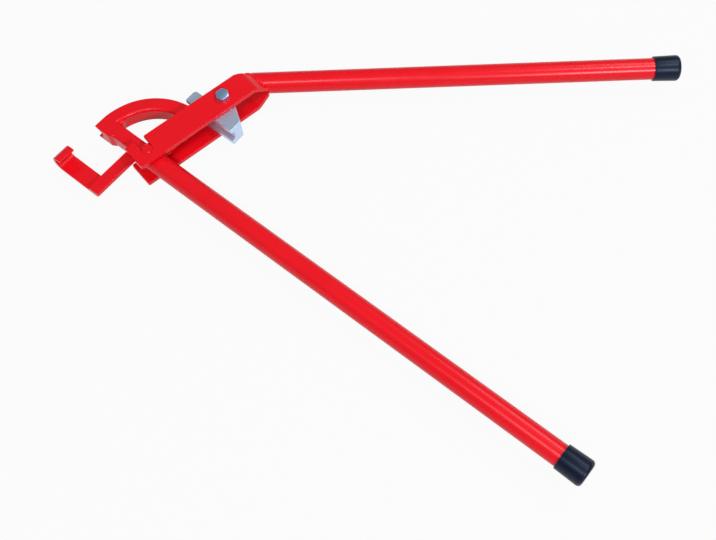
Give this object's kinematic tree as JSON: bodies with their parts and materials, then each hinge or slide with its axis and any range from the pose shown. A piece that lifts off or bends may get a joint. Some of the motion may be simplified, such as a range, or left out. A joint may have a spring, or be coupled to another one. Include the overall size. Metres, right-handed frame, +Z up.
{
  "type": "lever pipe bender",
  "caption": "Hand lever bender for pipe: a grooved quadrant and pipe hook on a tube handle, with a forked lever that swings round its pivot pin and carries a rocking guide shoe.",
  "frame": {"origin": "under the middle of the part's box, at the height of its lowest point, the tip of the shoe bolt", "axes": "+X along the fixed handle towards its cap, +Y along the straight side of the former towards the lever, +Z up along the pivot pin"},
  "size_m": [0.6207, 0.5094, 0.0522],
  "materials": {
    "red_coat": "glossy powder coat",
    "black_cap": "soft satin",
    "zinc_plate": "bright bluish zinc plate"
  },
  "bodies": {
    "fixed_side": {"bending_former": "red_coat", "pivot_pin": "red_coat", "hook_arm": "red_coat", "pipe_hook": "red_coat", "fixed_handle": "red_coat", "fixed_handle_cap": "black_cap"},
    "lever": {"upper_fork_plate": "red_coat", "lower_fork_plate": "red_coat", "lever_handle": "red_coat", "lever_handle_cap": "black_cap", "shoe_bolt": "zinc_plate", "shoe_sleeve": "zinc_plate", "nut_washer": "zinc_plate", "shoe_nut": "zinc_plate"},
    "shoe": {"guide_shoe": "zinc_plate"}
  },
  "joints": [
    {"name": "lever_swing", "type": "hinge", "parent": "fixed_side", "child": "lever", "pos_m": [-0.23065, -0.18918, 0.0284], "axis": [0, 0, 1], "range_deg": [-6, 92]},
    {"name": "shoe_tilt", "type": "hinge", "parent": "lever", "child": "shoe", "pos_m": [-0.21189, -0.09267, 0.0284], "axis": [0, 0, 1], "range_deg": [-8, 2]}
  ]
}
